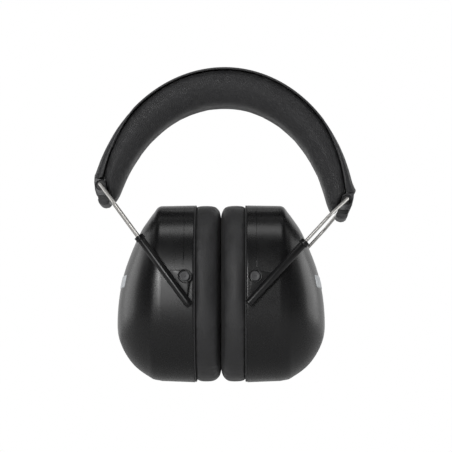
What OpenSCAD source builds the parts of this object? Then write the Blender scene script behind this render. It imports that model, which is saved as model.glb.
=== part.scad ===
// Padded-band hearing protection earmuffs: sprung headband, wire yokes, sliding arms, two ear cups.
// Origin on the underside of the band's crown. X to the wearer's side, Y front to back, Z up.

/* [Headband] */
// Half width of the outer curve of the band
band_outer_x = 85.6; // [80:0.1:92]
// Height of the outer curve of the band
band_outer_z = 99.7; // [92:0.1:106]
// Half width of the inner curve of the pad
band_inner_x = 71; // [66:0.1:76]
// Height of the inner curve of the pad
band_inner_z = 88.2; // [82:0.1:94]
// Thickness of cover and pad at the crown
crown_thick = 20.8; // [14:0.1:26]
// How far each end of the band goes round, in degrees from the crown
band_reach = 75.2; // [65:0.1:80]
// Half width of the pad, front to back, at the crown
pad_half_crown = 22; // [18:0.5:26]
// Half width of the pad at its ends
pad_half_end = 17; // [14:0.5:20]
// Thickness of the cover at the crown
cover_crown = 1.3; // [1:0.1:3]
// Thickness of the cover at its mouths
cover_mouth = 6.7; // [5:0.1:8]
// Sideways lean of the band over the cups, in degrees
lean = 3.5; // [0:0.1:5]

/* [Spring and blocks] */
// Half width of the spring strip
strip_half = 7; // [5:0.5:9]
// Thickness of the spring strip
strip_thick = 1; // [0.8:0.1:1.5]
// Half width of an end block, front to back
block_half = 14; // [11:0.5:16]
// Distance of each yoke pivot from the band's middle
pivot_x = 78.35; // [74:0.05:82]
// Depth of each yoke pivot below the crown
pivot_drop = 58.8; // [54:0.1:62]
// Depth of the round swing pocket in a block
pocket_deep = 1.5; // [0.5:0.1:3]

/* [Wire yokes] */
// Radius of the wire
wire_r = 1.05; // [0.9:0.05:1.5]
// Radial clearance of the wire in its tubes and bores
wire_play = 0.05; // [0.01:0.01:0.1]
// Distance along the wire from the pivot to its lower bend
bend_drop = 18; // [14:0.5:22]
// Distance out from the middle to where the wire turns at the block
turn_y = 20; // [17:0.5:24]
// Distance along the wire from the pivot to its tip
wire_len = 64; // [60:0.5:70]

/* [Sliding arms] */
// Distance of the tube axis in front of the cups' middle
tube_y = 47.8; // [47:0.1:50]
// Radius of a tube
tube_r = 2.5; // [2:0.1:3]
// Length of tube above the stud
tube_above = 36.1; // [30:0.1:40]
// Length of tube below the stud
tube_below = 14.3; // [10:0.1:18]
// Distance of the stud from the tube axis
stud_offset = 8.3; // [7:0.1:10]
// Radius of the eye round the stud
eye_r = 3.9; // [3.5:0.1:5]
// Thickness of the web plate
web_thick = 2; // [1.5:0.1:2.5]

/* [Cups] */
// Position of the plane where the two cushions meet
meet_x = -5.35; // [-8:0.05:8]
// Height of the middle of the cups
cup_z = -122.2; // [-130:0.1:-115]
// Distance of each stud from the meeting plane
stud_x = 21.75; // [20:0.05:24]
// Height of the studs
stud_z = -114.25; // [-120:0.05:-108]
// Radius of a pivot stud
stud_r = 2; // [1.5:0.1:2.5]
// Wall thickness of a cup shell
shell_wall = 2.8; // [2:0.1:4]
// Distance out from the meeting plane to the shell's rim
rim_out = 16.5; // [14:0.1:20]
// Half width of a cushion, front to back
cushion_half_y = 44.8; // [42:0.1:46]
// Half height of a cushion
cushion_half_z = 56.5; // [54:0.1:58]
// Half width of the ear opening
ear_half_y = 21; // [18:0.5:25]
// Half height of the ear opening
ear_half_z = 33; // [30:0.5:37]
// Gap from each cushion's face to the meeting plane
face_gap = 0.15; // [0.1:0.05:0.5]

/* [Hidden] */
$fn = 48;
LEFT = -1;
RIGHT = 1;
big = 200;
joint_gap = 0.15;
band_steps = 44;
oval_steps = 56;
// where the cover starts to swell on each limb, and how much shorter its seam edge and the pad's are
swell_from = 45;
seam_short = 0.965;
pad_short = 0.955;
strip_reach = 72;
tongue_from = 61;
tongue_thick = 2.9;
tongue_half = 9;
rivet_r = 1.4;
rivet_at = [63.5, 68.5];
pad_start = 1.012;
// rows of a cup's outside: distance out, half width, top, bottom, squareness
dome = [
  [rim_out, 44.0, 56.0, -56.3, 2.6],
  [37.4, 43.55, 55.65, -55.5, 2.6],
  [39.2, 43.3, 55.2, -55.15, 2.6],
  [42.6, 42.5, 51.3, -54.5, 2.57],
  [46.0, 40.8, 46.8, -52.6, 2.5],
  [50.0, 38.0, 41.0, -50.0, 2.45],
  [54.0, 34.2, 32.9, -46.8, 2.4],
  [58.0, 29.0, 23.4, -42.3, 2.35],
  [61.0, 23.6, 15.0, -37.7, 2.3],
  [63.0, 18.6, 7.4, -33.8, 2.25],
  [64.6, 13.0, -1.5, -29.6, 2.2],
  [65.5, 7.6, -9.5, -25.8, 2.1],
  [65.9, 2.5, -17.0, -21.5, 2.0]
];
dome_from = 36;
badge_out = 63.12;
badge_up = 6.5;
badge_tilt = 12;
badge_curve = 3.75;
// outline of a cushion's section: share of the way from outside to inside, distance out
cushion_ring = [
  [0.02, 16.2], [0, 13], [0, 8], [0.015, 4.2], [0.07, 1.6], [0.22, face_gap],
  [0.74, face_gap], [0.9, 1.5], [0.985, 4.5], [1, 9], [0.98, 13], [0.94, 16.2]
];
// a right-hand end block, seen from the front
block_outline = [
  [82.6, -53.9], [82.5, -57.5], [81.7, -62], [80.6, -65.1], [79.9, -65.5], [79.3, -67.9],
  [79.6, -68.3], [79, -69.7], [77.6, -70.8], [75.6, -71.2], [73.3, -70.6], [72.1, -69.4],
  [71.9, -68.3], [72.7, -67.9], [73.5, -65.5], [73.1, -65.1], [74.3, -61], [75.2, -57], [75.8, -55.5]
];

function swell(t) = cover_crown
  + (cover_mouth - cover_crown) * pow(max(0, (abs(t) - swell_from) / (band_reach - swell_from)), 1.1);
function outer_at(t) = [band_outer_x * sin(t), crown_thick - band_outer_z * (1 - cos(t))];
function inner_at(t) = [band_inner_x * sin(pad_start * t), -band_inner_z * (1 - cos(pad_start * t))];
function unit(v) = v / norm(v);
function inward(t) = unit(inner_at(t) - outer_at(t));
function seam_at(t) = outer_at(t) + inward(t) * swell(t);
// square to the seam, towards the middle
function square_to(t) = let (d = seam_at(t + 0.5) - seam_at(t - 0.5)) unit([d[1], -d[0]]);
function pad_half(t) = pad_half_crown
  - (pad_half_crown - pad_half_end) * pow(abs(t) / band_reach, 1.5);
function band_angle(i) = -band_reach + 2 * band_reach * i / band_steps;
function lean_pt(p) = [p[0] * cos(lean) + p[1] * sin(lean), p[1] * cos(lean) - p[0] * sin(lean)];
function pivot(s) = lean_pt([s * pivot_x, -pivot_drop]);
function stud(s) = [meet_x + s * stud_x, stud_z];
function reach(s) = norm(stud(s) - pivot(s));
function wire_angle(s) = atan2(-s * (stud(s) - pivot(s))[0], (pivot(s) - stud(s))[1])
  - asin(stud_offset / reach(s));
function stud_drop(s) = sqrt(pow(reach(s), 2) - pow(stud_offset, 2));
function bent(v, p) = sign(v) * pow(abs(v), p);
function oval(half_y, half_z, square) = [
  for (i = [0:oval_steps - 1]) let (a = -360 * i / oval_steps)
    [half_y * bent(cos(a), 2 / square), half_z * bent(sin(a), 2 / square)]
];
// a closed ring of points a set distance out from the meeting plane, shrunk by the given wall
function cup_ring(row, wall, out) = [
  for (p = oval(row[1] - wall, (row[2] - row[3]) / 2 - wall, row[4]))
    [out, p[0], p[1] + (row[2] + row[3]) / 2]
];
function sunk(x, wall) = x - wall * max(0, (x - dome_from) / (65.9 - dome_from));
function flat(list) = [for (a = list) for (b = a) b];

// joins equal rings of points into one closed skin
module skin(rings, loop = false) {
  n = len(rings[0]);
  m = len(rings);
  last = loop ? m - 1 : m - 2;
  sides = [
    for (k = [0:last]) for (i = [0:n - 1]) let (a = k * n + i, b = k * n + (i + 1) % n,
      c = ((k + 1) % m) * n + i, d = ((k + 1) % m) * n + (i + 1) % n)
      each [[a, b, d], [a, d, c]]
  ];
  ends = loop ? [] : [[for (i = [n - 1:-1:0]) i], [for (i = [0:n - 1]) (m - 1) * n + i]];
  polyhedron(points = flat(rings), faces = concat(sides, ends), convexity = 8);
}

// places its children, drawn for the right, on the given side of the leaning band
module on_band(s) {
  rotate([0, lean, 0]) mirror([s < 0 ? 1 : 0, 0, 0]) children();
}

// places its children with the pivot at the origin and the wire running straight down
module on_yoke(s) {
  translate([pivot(s)[0], 0, pivot(s)[1]])
    mirror([s > 0 ? 1 : 0, 0, 0])
      rotate([0, -wire_angle(s), 0]) children();
}

// places its children with X running outward from the meeting plane at the cup's middle
module on_cup(s) {
  translate([meet_x, 0, cup_z]) mirror([s < 0 ? 1 : 0, 0, 0]) children();
}

module both_faces() {
  children();
  mirror([0, 1, 0]) children();
}

module along_y(r, from, to) {
  translate([0, from, 0]) rotate([-90, 0, 0]) cylinder(r = r, h = to - from);
}

// a plate between two distances from the seam, drawn from one band angle to another
module seam_plate(from, to, low, high, half) {
  steps = 24;
  turns = [for (i = [0:steps]) from + (to - from) * i / steps];
  near = [for (t = turns) seam_at(t) - inward(t) * low];
  far = [for (i = [steps:-1:0]) seam_at(turns[i]) - inward(turns[i]) * high];
  rotate([90, 0, 0]) translate([0, 0, -half]) linear_extrude(2 * half) polygon(concat(near, far));
}

module headband_cover() {
  color([0.05, 0.05, 0.055]) rotate([0, lean, 0]) difference() {
    skin([
      for (i = [0:band_steps]) let (t = band_angle(i), low = seam_at(t * seam_short),
        up = outer_at(t) - low, w = pad_half(t) - 1.35)
        [for (p = [[w, 0], [w, 0.45], [w - 0.5, 0.82], [w - 1.6, 1],
                   [1.6 - w, 1], [0.5 - w, 0.82], [-w, 0.45], [-w, 0]])
          [low[0] + up[0] * p[1], -p[0], low[1] + up[1] * p[1]]]
    ]);
    for (s = [0, 1]) mirror([s, 0, 0])
      seam_plate(tongue_from - 1.5, band_reach + 4, -0.5, tongue_thick + 0.3, tongue_half + 0.3);
  }
}

module headband_pad() {
  color([0.11, 0.11, 0.12]) rotate([0, lean, 0]) skin([
    for (i = [0:band_steps]) let (t = band_angle(i), edge = seam_at(t * pad_short),
      dir = unit(inner_at(t) - edge), top = edge + dir * joint_gap, w = pad_half(t),
      n = strip_half + 0.5, deep = norm(inner_at(t) - edge) - joint_gap,
      half = [[n, 2.1], [n, 0], [w - 1.5, 0], [w - 0.3, 1.2], [w, 4], [w, deep - 8],
              [w - 0.9, deep - 4.2], [w - 3.2, deep - 1.4], [w - 6.5, deep - 0.3], [w - 10, deep]])
      [for (p = concat(half, [for (j = [9:-1:0]) [-half[j][0], half[j][1]]]))
        [top[0] + dir[0] * p[1], p[0], top[1] + dir[1] * p[1]]]
  ]);
}

module spring_strip() {
  color([0.6, 0.61, 0.63]) rotate([0, lean, 0]) difference() {
    rotate([90, 0, 0]) translate([0, 0, -strip_half]) linear_extrude(2 * strip_half)
      polygon(concat(
        [for (i = [0:60]) let (t = strip_reach * (i / 30 - 1)) seam_at(t) + inward(t) * 0.3],
        [for (i = [60:-1:0]) let (t = strip_reach * (i / 30 - 1))
          seam_at(t) + inward(t) * (0.3 + strip_thick)]
      ));
    for (s = [0, 1]) mirror([s, 0, 0]) rivet_pair(rivet_r + 0.02, 5, 3);
  }
}

module rivet_pair(r, out, in) {
  for (t = rivet_at) let (p = seam_at(t), d = square_to(t))
    translate([p[0], 0, p[1]]) rotate([0, atan2(d[0], d[1]), 0])
      translate([0, 0, -out]) cylinder(r = r, h = out + in);
}

module band_rivets(s) {
  color([0.7, 0.7, 0.72]) on_band(s) rivet_pair(rivet_r, 2.2, 1.12);
}

module piping(s) {
  r = 0.65;
  color([0.03, 0.03, 0.03]) rotate([0, lean, 0]) skin([
    for (i = [0:band_steps]) let (t = band_angle(i), p = seam_at(t * 0.96), d = inward(t * 0.96),
      w = pad_half(t) - 0.5)
      [for (j = [0:7]) let (q = r * sin(45 * j) - 0.15, y = s * w + r * cos(45 * j))
        [p[0] + d[0] * q, y, p[1] + d[1] * q]]
  ]);
}

module end_block(s) {
  top = -53.9;
  foot = -71.2;
  round_r = 5;
  color([0.13, 0.13, 0.14]) on_band(s) difference() {
    union() {
      intersection() {
        rotate([90, 0, 0]) translate([0, 0, -block_half]) linear_extrude(2 * block_half)
          polygon(block_outline);
        union() {
          translate([60, -block_half, foot + round_r]) cube([40, 2 * block_half, top - foot]);
          translate([60, round_r - block_half, foot]) cube([40, 2 * (block_half - round_r), round_r]);
          both_faces() translate([60, block_half - round_r, foot + round_r])
            rotate([0, 90, 0]) cylinder(r = round_r, h = 40);
        }
      }
      seam_plate(tongue_from, band_reach - 0.8, 0.12, tongue_thick, tongue_half);
    }
    translate([pivot_x, 0, -pivot_drop]) {
      along_y(wire_r + wire_play, -big, big);
      both_faces() along_y(3.1, block_half - pocket_deep, big);
    }
    rivet_pair(rivet_r + 0.02, 5, 3);
  }
}

// the bent part of a wire: from inside the crossbar, over the shoulder, to inside the straight leg
module wire_shoulder(slope, turn_cut, knee_cut) {
  r = wire_r - 0.005;
  turn_r = turn_cut / tan(slope / 2);
  knee_r = knee_cut / tan((90 - slope) / 2);
  path = concat(
    [[turn_y - turn_cut - 1, 0, 0]],
    [for (i = [0:4]) let (d = slope * i / 4)
      [turn_y - turn_cut + turn_r * sin(d), turn_r * (cos(d) - 1), d]],
    [for (i = [0:7]) let (d = slope + (90 - slope) * i / 7)
      [tube_y - knee_r * (1 - sin(d)), -bend_drop - knee_cut + knee_r * cos(d), d]],
    [[tube_y, -bend_drop - knee_cut - 1, 90]]
  );
  skin([
    for (p = path)
      [for (j = [0:15]) let (a = 22.5 * j)
        [r * cos(a), p[0] + r * sin(a) * sin(p[2]), p[1] + r * sin(a) * cos(p[2])]]
  ]);
}

module wire_form() {
  slope = atan2(bend_drop, tube_y - turn_y);
  turn_cut = 4 * tan(slope / 2);
  knee_cut = 6 * tan((90 - slope) / 2);
  along_y(wire_r, turn_cut - turn_y, turn_y - turn_cut);
  both_faces() {
    wire_shoulder(slope, turn_cut, knee_cut);
    translate([0, tube_y, -wire_len]) cylinder(r = wire_r, h = wire_len - bend_drop - knee_cut);
  }
}

module wire_yoke(s) {
  color([0.8, 0.8, 0.82]) on_yoke(s) wire_form();
}

// face is 1 for the rear arm and -1 for the front one
module arm(s, face) {
  drop = stud_drop(s);
  eye_in = 44.75;
  eye_out = 48.2;
  color([0.05, 0.05, 0.055]) on_yoke(s) mirror([0, face < 0 ? 1 : 0, 0]) difference() {
    union() {
      translate([0, tube_y, -drop - tube_below]) cylinder(r = tube_r, h = tube_above + tube_below);
      translate([stud_offset, 0, -drop]) along_y(eye_r, eye_in, eye_out);
      translate([0, eye_in + 0.25 + web_thick, -drop]) rotate([90, 0, 0]) linear_extrude(web_thick)
        polygon([[0, 11.3], [10.6, 3], [11.4, -2.4], [9.5, -3.6], [0, -tube_below + 1]]);
    }
    translate([0, tube_y, -drop - tube_below - 1]) cylinder(r = wire_r + wire_play, h = big);
    translate([stud_offset, 0, -drop]) {
      along_y(stud_r + 0.05, 40, big);
      along_y(3.2, eye_out - 1.2, big);
    }
  }
}

module tube_collars(s) {
  top = -stud_drop(s) + tube_above;
  color([0.08, 0.08, 0.085]) on_yoke(s) both_faces() translate([0, tube_y, 0]) difference() {
    translate([0, 0, top - 2.2]) cylinder(r = 3.1, h = 3);
    translate([0, 0, top - 2.3]) cylinder(r = tube_r + 0.01, h = 2.35);
    translate([0, 0, top - 1]) cylinder(r = wire_r + 0.1, h = big);
  }
}

module tube_plugs(s) {
  low = -stud_drop(s) - tube_below;
  color([0.05, 0.05, 0.055]) on_yoke(s) both_faces() translate([0, tube_y, low - 1.4])
    cylinder(r = tube_r, h = 1.35);
}

module cup_shell(s) {
  color([0.045, 0.045, 0.05]) on_cup(s) difference() {
    skin([for (row = dome) cup_ring(row, 0, row[0])]);
    skin([
      cup_ring(dome[0], shell_wall, rim_out - 1),
      for (i = [0:11]) cup_ring(dome[i], shell_wall, i == 0 ? rim_out + 1 : sunk(dome[i][0], shell_wall))
    ]);
    translate([stud_x, 0, stud_z - cup_z]) along_y(stud_r + 0.02, -60, 60);
    badge_bar(0.1, 6);
  }
}

module foam_liner(s) {
  wall = shell_wall + 0.5;
  color([0.16, 0.16, 0.17]) on_cup(s) skin([
    cup_ring([0, 43.2, 55.2, -55, 2.6], wall + 0.3, 38),
    for (i = [2:11]) cup_ring(dome[i], wall, sunk(dome[i][0], wall))
  ]);
}

module back_plate(s) {
  color([0.07, 0.07, 0.075]) on_cup(s) rotate([90, 0, 90]) translate([0, 0, rim_out + 0.1]) {
    linear_extrude(2.2) difference() {
      polygon(oval(40.9, 53, 2.6));
      polygon(oval(25, 37, 2.3));
    }
    linear_extrude(6) difference() {
      polygon(oval(27, 39, 2.3));
      polygon(oval(25, 37, 2.3));
    }
  }
}

module ear_cushion(s) {
  outside = oval(cushion_half_y, cushion_half_z, 2.6);
  inside = oval(ear_half_y, ear_half_z, 2.3);
  color([0.13, 0.13, 0.135]) on_cup(s) skin([
    for (i = [0:oval_steps - 1])
      [for (c = cushion_ring) let (p = outside[i] + (inside[i] - outside[i]) * c[0]) [c[1], p[0], p[1]]]
  ], loop = true);
}

module pivot_studs(s) {
  color([0.1, 0.1, 0.105]) on_cup(s) translate([stud_x, 0, stud_z - cup_z]) both_faces() {
    along_y(2.75, 38.4, 40.2);
    along_y(stud_r, 38.4, 47.8);
    along_y(3.05, 47.1, 48.1);
  }
}

module stud_washers(s) {
  color([0.06, 0.06, 0.065]) on_cup(s) translate([stud_x, 0, stud_z - cup_z]) both_faces()
    difference() {
      along_y(4.4, 44.05, 44.6);
      along_y(stud_r + 0.02, 40, 50);
    }
}

// a plain bar that follows the dome's outermost face
module badge_bar(grow, proud) {
  half = 23 + grow;
  steps = 16;
  across = [for (i = [0:steps]) half * (i * 2 / steps - 1)];
  translate([badge_out, 0, badge_up]) rotate([0, -badge_tilt, 0])
    translate([0, 0, -4 - grow]) linear_extrude(8 + 2 * grow)
      polygon(concat(
        [for (y = across) [proud - badge_curve * pow(abs(y) / 23, 2.4), y]],
        [for (i = [steps:-1:0]) [-1 - grow - badge_curve * pow(abs(across[i]) / 23, 2.4), across[i]]]
      ));
}

module badge(s) {
  color([0.78, 0.8, 0.82]) on_cup(s) badge_bar(0, 0.35);
}

headband_cover();
headband_pad();
spring_strip();
piping(-1);  // front_piping
piping(1);  // rear_piping
end_block(LEFT);  // left_end_block
end_block(RIGHT);  // right_end_block
band_rivets(LEFT);  // left_band_rivets
band_rivets(RIGHT);  // right_band_rivets
wire_yoke(LEFT);  // left_wire_yoke
wire_yoke(RIGHT);  // right_wire_yoke
arm(LEFT, -1);  // left_front_arm
arm(LEFT, 1);  // left_rear_arm
arm(RIGHT, -1);  // right_front_arm
arm(RIGHT, 1);  // right_rear_arm
tube_collars(LEFT);  // left_tube_collars
tube_collars(RIGHT);  // right_tube_collars
tube_plugs(LEFT);  // left_tube_plugs
tube_plugs(RIGHT);  // right_tube_plugs
cup_shell(LEFT);  // left_cup_shell
cup_shell(RIGHT);  // right_cup_shell
back_plate(LEFT);  // left_back_plate
back_plate(RIGHT);  // right_back_plate
ear_cushion(LEFT);  // left_ear_cushion
ear_cushion(RIGHT);  // right_ear_cushion
foam_liner(LEFT);  // left_foam_liner
foam_liner(RIGHT);  // right_foam_liner
pivot_studs(LEFT);  // left_pivot_studs
pivot_studs(RIGHT);  // right_pivot_studs
stud_washers(LEFT);  // left_stud_washers
stud_washers(RIGHT);  // right_stud_washers
badge(LEFT);  // left_badge
badge(RIGHT);  // right_badge
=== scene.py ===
import math

import bmesh
import bpy
import numpy as np
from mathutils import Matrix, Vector
from mathutils.bvhtree import BVHTree
from mathutils.geometry import tessellate_polygon


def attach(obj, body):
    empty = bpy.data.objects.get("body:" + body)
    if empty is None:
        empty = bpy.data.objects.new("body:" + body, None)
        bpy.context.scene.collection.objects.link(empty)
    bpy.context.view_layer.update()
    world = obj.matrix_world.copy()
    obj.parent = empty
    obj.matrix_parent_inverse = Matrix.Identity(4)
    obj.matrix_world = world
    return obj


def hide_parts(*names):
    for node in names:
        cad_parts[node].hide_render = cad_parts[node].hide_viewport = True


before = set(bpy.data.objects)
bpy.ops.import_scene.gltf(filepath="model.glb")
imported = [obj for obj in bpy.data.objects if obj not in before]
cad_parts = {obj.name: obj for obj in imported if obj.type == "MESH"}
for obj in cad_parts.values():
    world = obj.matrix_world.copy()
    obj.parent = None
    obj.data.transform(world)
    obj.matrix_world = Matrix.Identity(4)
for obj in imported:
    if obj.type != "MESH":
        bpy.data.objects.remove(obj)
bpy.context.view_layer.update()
MM = 0.001
LEFT, RIGHT = -1, 1
SIDES = ((LEFT, "left"), (RIGHT, "right"))

# ---------------- the design's own numbers, in mm
LEAN = math.radians(3.5)  # the band's tilt towards one side
REACH = 75.2  # degrees from the crown to the cover's mouth
BAND_HALF, BAND_TAPER = 22, 5  # half width at the crown, and what it loses by the ends
SWELL_FROM = 45  # degrees at which the cover starts to swell into a sleeve
COVER_IN = 1.1  # how much narrower the cover is than the band, on each edge
STITCH_IN = 3.0  # from the cover's edge to its stitching
PIVOT = (78.35, -58.8)  # the wire's bore in the block, in the band's frame
STUD_X, STUD_Z = 21.75, -114.25  # the stud, from the meeting plane and in the shared frame
STUD_OFF = 8.3  # from the tube's middle line to the stud
MEET_X, CUP_Z = -5.35, -122.2  # the plane where the cushions meet, and the cups' middle height
TUBE_Y, TUBE_ABOVE, TUBE_BELOW = 47.8, 36.1, 14.3
TUBE_R, BORE_R, WIRE_R = 2.5, 1.1, 1.05
BAR_HALF, SHOULDER_DROP = 20, 18  # the wire's crossbar, and how far its shoulders come down
BAR_BEND, KNEE_BEND, LEG_END = 4, 6, -64
BLOCK_HALF, FOOT_Z, FOOT_R = 14.0, -71.2, 5.0
RIM, SQUARE = 16.5, 2.6  # the shell's rim from the meeting plane, and the ovals' squareness
CUSHION, EAR_HOLE = (44.8, 56.5), (21, 33)
CUSHION_MID = (33, 45)  # an oval halfway over the cushion, on which a ring measure is 1
WELT, WELT_X, WELT_R = (43.7, 55.5), 15.97, 0.56

# rows of the dome: distance from the meeting plane, half width, top, bottom, squareness
DOME = np.array([
    [16.5, 44.0, 56.0, -56.3, 2.6],
    [37.4, 43.55, 55.65, -55.5, 2.6],
    [39.2, 43.3, 55.2, -55.15, 2.6],
    [42.6, 42.5, 51.3, -54.5, 2.57],
    [46.0, 40.8, 46.8, -52.6, 2.5],
    [50.0, 38.0, 41.0, -50.0, 2.45],
    [54.0, 34.2, 32.9, -46.8, 2.4],
    [58.0, 29.0, 23.4, -42.3, 2.35],
    [61.0, 23.6, 15.0, -37.7, 2.3],
    [63.0, 18.6, 7.4, -33.8, 2.25],
    [64.6, 13.0, -1.5, -29.6, 2.2],
    [65.5, 7.6, -9.5, -25.8, 2.1],
    [65.9, 2.5, -17.0, -21.5, 2.0],
    [65.95, 0.02, -19.2, -19.24, 2.0],
])
# the end block's outline in the band's frame
BLOCK = np.array([
    [82.6, -53.9], [82.5, -57.5], [81.7, -62.0], [80.6, -65.1], [79.9, -65.5], [79.3, -67.9],
    [79.6, -68.3], [79.0, -69.7], [77.6, -70.8], [75.6, -71.2], [73.3, -70.6], [72.1, -69.4],
    [71.9, -68.3], [72.7, -67.9], [73.5, -65.5], [73.1, -65.1], [74.3, -61.0], [75.2, -57.0],
    [75.8, -55.5],
])


def rad(t):
    return np.radians(np.asarray(t, float))


def outer_at(t):
    """The band's outer curve, x and z, at t degrees from the crown."""
    t = rad(t)
    return np.stack([85.6 * np.sin(t), 20.8 - 99.7 * (1 - np.cos(t))], -1)


def inner_at(t):
    """The pad's inner curve."""
    t = rad(t) * 1.012
    return np.stack([71 * np.sin(t), -88.2 * (1 - np.cos(t))], -1)


def inward(t):
    d = inner_at(t) - outer_at(t)
    return d / np.linalg.norm(d, axis=-1, keepdims=True)


def swell(t):
    """How deep the cover reaches below the outer curve."""
    return 1.3 + 5.4 * (np.maximum(0, (np.abs(t) - SWELL_FROM) / (REACH - SWELL_FROM)) ** 1.1)


def seam_at(t):
    """The seam between cover and pad."""
    return outer_at(t) + inward(t) * swell(t)[..., None]


def pad_half(t):
    return BAND_HALF - BAND_TAPER * (np.abs(t) / REACH) ** 1.5


def pad_deep(t):
    return np.linalg.norm(inner_at(t) - outer_at(t), axis=-1) - swell(t) - 0.15


# ---------------- frames of the bodies
def on_band(v, s=1):
    """Points from the band's upright frame to the shared one, mirrored for the left side."""
    v = np.array(v, float)
    v[:, 0] *= s
    c, k = math.cos(LEAN), math.sin(LEAN)
    return np.stack([v[:, 0] * c + v[:, 2] * k, v[:, 1], v[:, 2] * c - v[:, 0] * k], 1)


def pivot(s):
    p = on_band([[s * PIVOT[0], 0, PIVOT[1]]])[0]
    return p[0], p[2]


def yoke_of(s):
    """A yoke's pin, its angle from upright, and the distance from the pin down to the stud's height."""
    px, pz = pivot(s)
    sx, sz = MEET_X + s * STUD_X, STUD_Z
    reach = math.hypot(sx - px, sz - pz)
    angle = math.atan2(-s * (sx - px), pz - sz) - math.asin(STUD_OFF / reach)
    return px, pz, angle, math.sqrt(reach**2 - STUD_OFF**2)


def on_yoke(v, s):
    v = np.array(v, float)
    px, pz, a, _ = yoke_of(s)
    x = v[:, 0] * math.cos(a) - v[:, 2] * math.sin(a)
    z = v[:, 0] * math.sin(a) + v[:, 2] * math.cos(a)
    return np.stack([px - s * x, v[:, 1], pz + z], 1)


def on_cup(v, s):
    v = np.array(v, float)
    return np.stack([MEET_X + s * v[:, 0], v[:, 1], CUP_Z + v[:, 2]], 1)


# ---------------- mesh helpers
def loft(rings, loop=False, closed=True, caps=True):
    """A skin over rings with the same number of points, as a list of points and a list of faces."""
    n, m = len(rings[0]), len(rings)
    faces = []
    for k in range(m if loop else m - 1):
        a, b = k * n, ((k + 1) % m) * n
        for i in range(n if closed else n - 1):
            j = (i + 1) % n
            faces.append((a + i, a + j, b + j, b + i))
    if caps and not loop:
        faces += [tuple(range(n - 1, -1, -1)), tuple(range((m - 1) * n, m * n))]
    return np.vstack([np.asarray(r, float) for r in rings]), faces


def join(*parts):
    verts, faces, base = [], [], 0
    for v, f in parts:
        verts.append(np.asarray(v, float))
        faces += [tuple(i + base for i in q) for q in f]
        base += len(v)
    return np.vstack(verts), faces


def lathe(profile, axis="z", at=(0, 0, 0), steps=56, closed=True):
    """A closed profile of (radius, height), or an open one that starts and ends on the axis."""
    rings = []
    for i in range(steps):
        a = 2 * math.pi * i / steps
        ring = []
        for r, h in profile:
            p = (r * math.cos(a), r * math.sin(a), h)
            if axis == "y":
                p = (p[0], h, p[1])
            ring.append([p[0] + at[0], p[1] + at[1], p[2] + at[2]])
        rings.append(ring)
    return loft(rings, loop=True, closed=closed)


def sweep(path, radius, side, steps=20):
    """A round bar along a path that lies in a plane whose normal is side."""
    path = np.asarray(path, float)
    along = np.gradient(path, axis=0)
    along /= np.linalg.norm(along, axis=1, keepdims=True)
    side = np.asarray(side, float)
    rings = []
    for p, d in zip(path, along):
        up = np.cross(d, side)
        up /= np.linalg.norm(up)
        rings.append([p + radius * (math.cos(a) * side + math.sin(a) * up)
                      for a in np.arange(steps) * 2 * math.pi / steps])
    return loft(rings)


def offset_outline(points, by):
    """A 2-D outline moved inwards by a small amount."""
    p = np.asarray(points, float)
    a, b = p - np.roll(p, 1, 0), np.roll(p, -1, 0) - p
    a /= np.linalg.norm(a, axis=1, keepdims=True)
    b /= np.linalg.norm(b, axis=1, keepdims=True)
    n = np.stack([-(a + b)[:, 1], (a + b)[:, 0]], 1)
    n /= np.linalg.norm(n, axis=1, keepdims=True)
    area = np.sum(p[:, 0] * np.roll(p[:, 1], -1) - np.roll(p[:, 0], -1) * p[:, 1])
    return p + n * by * (1 if area > 0 else -1)


def plate(outline, hole, y0, y1, edge=0.2):
    """A flat plate in the XZ plane between two Y values, with rounded outer corners and one hole."""
    outline, hole = np.asarray(outline, float), np.asarray(hole, float)
    rows = [(y0, edge), (y0 + 0.3 * edge, 0.3 * edge), (y0 + edge, 0),
            (y1 - edge, 0), (y1 - 0.3 * edge, 0.3 * edge), (y1, edge)]
    last = len(rows) - 1
    verts, n, h = [], len(outline), len(hole)
    for y, e in rows:
        o = offset_outline(outline, e)
        verts += [[q[0], y, q[1]] for q in o]
    faces = []
    for k in range(last):
        for i in range(n):
            j = (i + 1) % n
            faces.append((k * n + i, k * n + j, (k + 1) * n + j, (k + 1) * n + i))
    base = len(rows) * n
    for y in (y0, y1):
        verts += [[q[0], y, q[1]] for q in hole]
    for i in range(h):
        j = (i + 1) % h
        faces.append((base + i, base + j, base + h + j, base + h + i))
    for ring, inner in ((0, base), (last * n, base + h)):
        loops = [[Vector((*np.asarray(verts[ring + i])[[0, 2]], 0)) for i in range(n)],
                 [Vector((*np.asarray(verts[inner + i])[[0, 2]], 0)) for i in range(h)]]
        index = [ring + i for i in range(n)] + [inner + i for i in range(h)]
        faces += [tuple(index[i] for i in tri) for tri in tessellate_polygon(loops)]
    return np.array(verts), faces


def circle(cx, cz, r, steps=40):
    a = np.arange(steps) * 2 * math.pi / steps
    return np.stack([cx + r * np.cos(a), cz + r * np.sin(a)], 1)


def build(name, part, mat, sharp=38):
    """An object from a list of points in mm and faces, normals outwards."""
    me = bpy.data.meshes.new(name)
    me.from_pydata((np.asarray(part[0]) * MM).tolist(), [], part[1])
    bm = bmesh.new()
    bm.from_mesh(me)
    bmesh.ops.remove_doubles(bm, verts=bm.verts, dist=2e-7)
    bmesh.ops.dissolve_degenerate(bm, edges=bm.edges, dist=1e-7)
    bmesh.ops.recalc_face_normals(bm, faces=bm.faces)
    bm.to_mesh(me)
    bm.free()
    finish_mesh(me, sharp)
    ob = bpy.data.objects.new(name, me)
    bpy.context.scene.collection.objects.link(ob)
    me.materials.append(mat)
    return ob


def finish_mesh(me, sharp):
    me.polygons.foreach_set("use_smooth", [True] * len(me.polygons))
    me.set_sharp_from_angle(angle=math.radians(sharp))


def place(ob, body, *nodes, slot=None):
    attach(ob, body)
    if nodes:
        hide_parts(*nodes)
    return ob


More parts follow.
